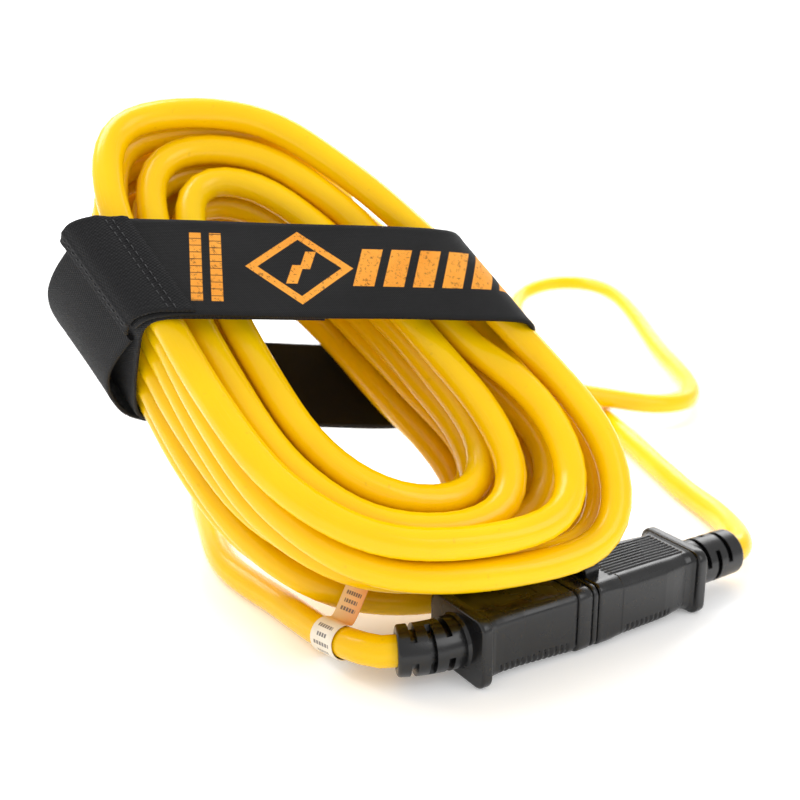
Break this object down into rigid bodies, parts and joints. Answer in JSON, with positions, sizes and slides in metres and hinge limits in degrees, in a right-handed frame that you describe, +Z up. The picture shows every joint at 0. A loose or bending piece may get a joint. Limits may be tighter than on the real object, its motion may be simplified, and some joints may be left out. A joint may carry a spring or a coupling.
{
  "type": "shore power cord",
  "caption": "Coiled yellow three-wire outdoor power cord with straight-blade plug mated into its own connector, held by a black hook-and-loop storage strap.",
  "frame": {"origin": "under the middle of the connector's rear flange, where it rests on the floor", "axes": "+Z up, -Y towards the plug and connector and the coil's broad near end, +Y towards the raised far end and the loose loop behind it"},
  "size_m": [0.2514, 0.4369, 0.1501],
  "materials": {
    "yellow_jacket": "glossy yellow PVC",
    "black_overmold": "satin moulded PVC",
    "insert_plastic": "matte",
    "plated_brass": "bright plated",
    "webbing": "woven nylon",
    "printed_panel": "satin woven with orange print",
    "hook_tape": "hook tape",
    "label": "printed vinyl",
    "line_insulation": "black PVC",
    "neutral_insulation": "white PVC",
    "ground_insulation": "green PVC"
  },
  "bodies": {
    "root": {"cable_jacket": "yellow_jacket", "line_conductor": "line_insulation", "neutral_conductor": "neutral_insulation", "ground_conductor": "ground_insulation", "connector_overmold": "black_overmold", "connector_contact_block": "insert_plastic", "connector_line_contact": "plated_brass", "connector_neutral_contact": "plated_brass", "connector_ground_contact": "plated_brass", "connector_line_crimp": "plated_brass", "connector_neutral_crimp": "plated_brass", "connector_ground_crimp": "plated_brass", "strap_base_band": "webbing", "strap_hanging_loop": "webbing"},
    "plug": {"plug_overmold": "black_overmold", "plug_insert": "insert_plastic", "plug_line_blade": "plated_brass", "plug_neutral_blade": "plated_brass", "plug_ground_pin": "plated_brass", "plug_line_crimp": "plated_brass", "plug_neutral_crimp": "plated_brass", "plug_ground_crimp": "plated_brass", "plug_line_lead": "line_insulation", "plug_neutral_lead": "neutral_insulation", "plug_ground_lead": "ground_insulation", "plug_tail_jacket": "yellow_jacket", "flag_label": "label"},
    "strap_flap": {"strap_printed_flap": "printed_panel", "strap_pull_hem": "webbing", "strap_hook_patch": "hook_tape"}
  },
  "joints": [
    {"name": "plug_slide", "type": "slide", "parent": "root", "child": "plug", "axis": [-0.8425, -0.5388, 0], "range_m": [0, 0.025]},
    {"name": "strap_open", "type": "hinge", "parent": "root", "child": "strap_flap", "pos_m": [-0.05456, 0.01137, 0.09993], "axis": [-0.5856, 0.5021, 0.6364], "range_deg": [0, 115]}
  ]
}
